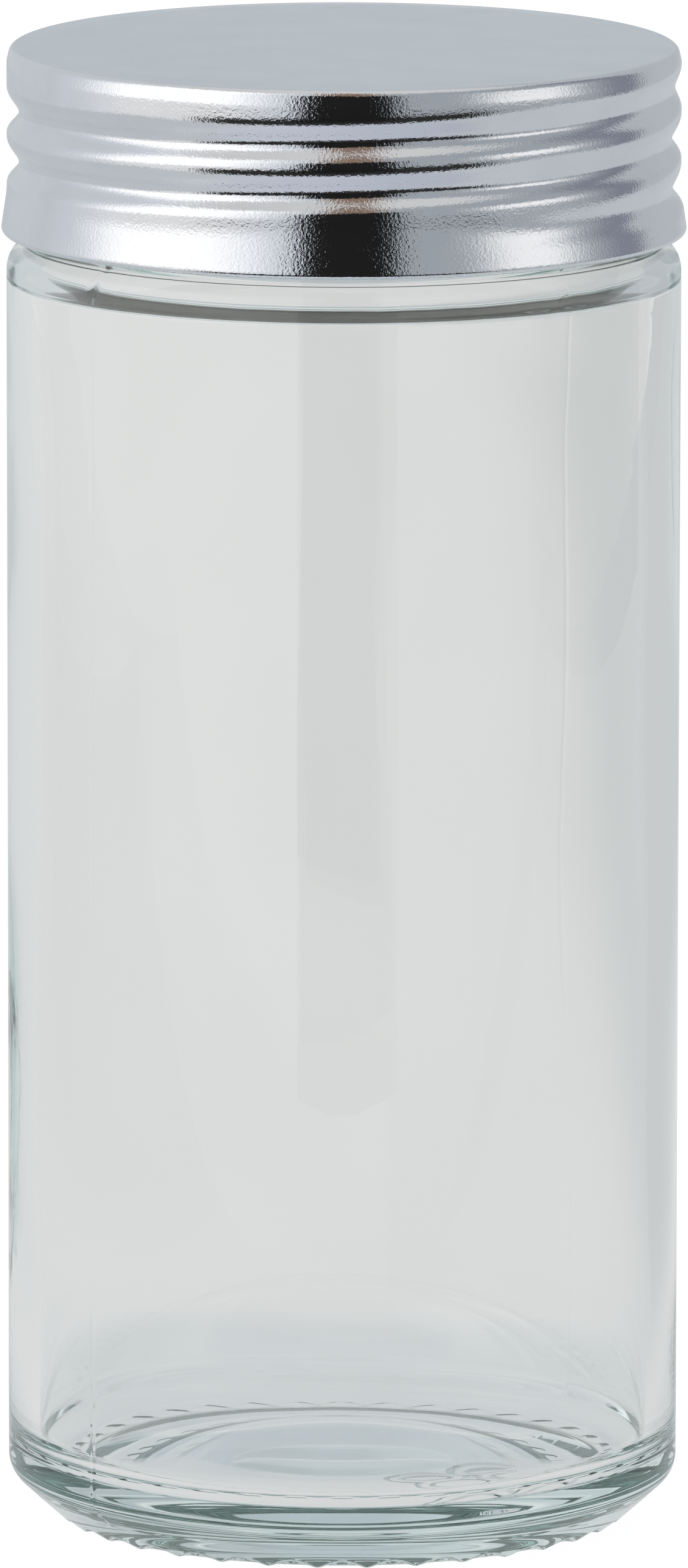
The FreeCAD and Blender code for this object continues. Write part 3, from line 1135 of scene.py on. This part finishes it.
@dataclass(frozen=True)
class Surroundings:
    """The world: a pale room with a soft light on each side. Its angles are in degrees."""

    wall: Colour = colour(0.61, 0.65, 0.67)
    right_wall: Colour = colour(0.50, 0.53, 0.556)
    right_wall_edge: Point = (118, 126)
    back_wall: Colour = colour(0.525, 0.57, 0.605)
    back_wall_edge: Point = (165, 175)
    ceiling: Colour = grey(0.68)
    ceiling_edge: Point = (50, 60)
    left_light: LightPanel = LightPanel((-117, -115), (-13, -17), (58, 50))
    left_middle: float = -62.0
    left_middle_edge: Point = (46, 16)
    left_glow: Colour = grey(1.25)
    left_glow_low: Colour = grey(0.82)
    left_glow_edge: Point = (-5, 1)
    left_dim: Colour = colour(0.66, 0.69, 0.74)
    right_light: LightPanel = LightPanel((13, 17), (122, 120), (60, 52))
    right_dim: Colour = colour(0.38, 0.41, 0.44)
    right_dark: Colour = colour(0.24, 0.25, 0.30)
    right_dark_edge: Point = (92, 108)
    spot: Colour = grey(1.0)
    spot_side: float = 67.0
    spot_side_edge: Point = (28, 6)
    spot_rise: float = 9.0
    spot_rise_edge: Point = (18, 6)
    gap: Colour = grey(0.03)
    gap_rise_edge: Point = (-11.5, -13.5)
    gap_side_edge: Point = (56, 48)
    through_glass: Colour = colour(0.79, 0.79, 0.775)
    through_glass_edge: Point = (8, 0)
    backdrop: Colour = grey(1.0)

    def build(self) -> None:
        """Makes the world and gives it to the scene."""
        world = bpy.data.worlds.new("studio")
        bpy.context.scene.world = world
        world.use_nodes = True
        tree = Tree(world.node_tree)
        right, back, up = tree.axes(tree.node("ShaderNodeTexCoord").outputs["Generated"])
        side, rise = right.atan2(-back), up.asin()
        room = tree.mix(side.step(*radians(self.right_wall_edge)), self.wall, self.right_wall)
        room = tree.mix(side.size().step(*radians(self.back_wall_edge)), room, self.back_wall)
        room = tree.mix(rise.step(*radians(self.ceiling_edge)), room, self.ceiling)
        room = tree.mix(self.left_light.cover(side, rise), room, self.left_tone(tree, side, rise))
        room = tree.mix(self.right_light.cover(side, rise), room,
                        self.right_tone(tree, side, rise))
        light_path = tree.node("ShaderNodeLightPath")
        through = Value(tree, light_path.outputs["Is Transmission Ray"])
        gap = (rise.step(*radians(self.gap_rise_edge))
               * side.size().step(*radians(self.gap_side_edge)) * (1.0 - through))
        room = tree.mix(gap, room, self.gap)
        below = through * rise.step(*radians(self.through_glass_edge))
        room = tree.mix(below, room, self.through_glass)
        to_eye = Value(tree, light_path.outputs["Is Camera Ray"])
        background = tree.node("ShaderNodeBackground", {}, {
            "Color": tree.mix(to_eye, room, self.backdrop), "Strength": 1.0,
        })
        tree.node("ShaderNodeOutputWorld", {}, {"Surface": background.outputs[0]})

    def left_tone(self, tree: Tree, side: Value, rise: Value) -> bpy.types.NodeSocket:
        """The colour of the light on the left: brightest round its middle, dimmer below.

        Args:
            tree: the world's tree.
            side: the direction's angle from the front, to the right.
            rise: its angle over the horizon.

        Returns:
            The colour.
        """
        glow = tree.mix(rise.step(*radians(self.left_glow_edge)),
                        self.left_glow_low, self.left_glow)
        from_middle = (side - math.radians(self.left_middle)).size()
        return tree.mix(from_middle.step(*radians(self.left_middle_edge)), self.left_dim, glow)

    def right_tone(self, tree: Tree, side: Value, rise: Value) -> bpy.types.NodeSocket:
        """The colour of the light on the right: dim, with one bright spot.

        Args:
            tree: the world's tree.
            side: the direction's angle from the front, to the right.
            rise: its angle over the horizon.

        Returns:
            The colour.
        """
        tone = tree.mix(side.step(*radians(self.right_dark_edge)), self.right_dim, self.right_dark)
        beside = (side - math.radians(self.spot_side)).size()
        above = (rise - math.radians(self.spot_rise)).size()
        spot = (beside.step(*radians(self.spot_side_edge))
                * above.step(*radians(self.spot_rise_edge)))
        return tree.mix(spot, tone, self.spot)


@dataclass(frozen=True)
class Studio:
    """Floor and cards."""

    floor_front: float = -0.125
    floor_side: float = 0.4
    floor_back: float = 5.0
    card_distance: float = 0.2
    card_left: float = -0.052
    card_right: float = 0.062
    card_top: float = 0.21
    glow_left: float = -0.03
    glow_right: float = 0.045
    glow_top: float = 0.7

    def build(self) -> None:
        """Makes the floor and the cards."""
        self.panel("floor", PaleFloor("pale_floor"), [
            (-self.floor_side, self.floor_front, 0), (self.floor_side, self.floor_front, 0),
            (self.floor_side, self.floor_back, 0), (-self.floor_side, self.floor_back, 0),
        ])
        self.card("dark_card", StudioCard("dark_card"), self.card_left, self.card_right,
                  0.0, self.card_top)
        self.card("glow_card", StudioCard("warm_card", colour(0.25, 0.17, 0.125)),
                  self.glow_left, self.glow_right, self.card_top, self.glow_top)

    def panel(self, name: str, finish: Finish,
              corners: Sequence[tuple[float, float, float]]) -> bpy.types.Object:
        """Makes a flat panel of the studio.

        Args:
            name: the panel's name.
            finish: its finish.
            corners: its corners, in metres.

        Returns:
            The panel.
        """
        mesh = bpy.data.meshes.new(name)
        mesh.from_pydata(corners, [], [range(len(corners))])
        mesh.materials.append(finish.material())
        panel = bpy.data.objects.new(name, mesh)
        bpy.context.scene.collection.objects.link(panel)
        return panel

    def card(self, name: str, finish: Finish, left: float, right: float, low: float,
             high: float) -> None:
        """Makes an upright card in front of the jar that shows in metal and glass only.

        Args:
            name: the card's name.
            finish: its finish.
            left: its left edge, in metres.
            right: its right edge.
            low: its lower edge.
            high: its upper edge.
        """
        away = -self.card_distance
        card = self.panel(name, finish, [(left, away, low), (right, away, low),
                                         (right, away, high), (left, away, high)])
        card.visible_camera = False
        card.visible_diffuse = False
        card.visible_volume_scatter = False
        card.visible_shadow = False


@dataclass(frozen=True)
class PhotoCamera:
    """The camera, where the photograph was taken from."""

    frame_pixels: int = 2576
    focal_pixels: float = 28197.0
    sensor: float = 36.0
    aside: float = 0.00006
    distance: float = 1.2511
    rise: float = 0.2785
    down_tilt: float = math.radians(10.14)
    roll: float = math.radians(0.08)
    clip: Point = (0.01, 50.0)

    def build(self) -> None:
        """Makes the camera and gives it to the scene."""
        data = bpy.data.cameras.new("photo_camera")
        data.sensor_width = self.sensor
        data.lens = self.focal_pixels / self.frame_pixels * self.sensor
        data.clip_start, data.clip_end = self.clip
        camera = bpy.data.objects.new("photo_camera", data)
        camera.location = (self.aside, -self.distance, self.rise)
        camera.rotation_mode = "ZXY"
        camera.rotation_euler = (math.pi / 2 - self.down_tilt, 0.0, self.roll)
        bpy.context.scene.collection.objects.link(camera)
        bpy.context.scene.camera = camera


def main() -> None:
    """Builds the jar, the studio and the camera."""
    logging.basicConfig(level=logging.INFO, format="%(name)s: %(message)s")
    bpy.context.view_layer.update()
    for maker in (GlassJar(), ScrewCap(), SealingDisc()):
        piece = maker.build()
        LOG.info("%s: %d faces", piece.name, len(piece.data.polygons))
    Studio().build()
    Surroundings().build()
    PhotoCamera().build()
    scene = bpy.context.scene
    scene.view_settings.view_transform = "Standard"
    scene.cycles.max_bounces = scene.cycles.transmission_bounces = LIGHT_BOUNCES
    scene.cycles.glossy_bounces = LIGHT_BOUNCES


if __name__ == "__main__":
    main()
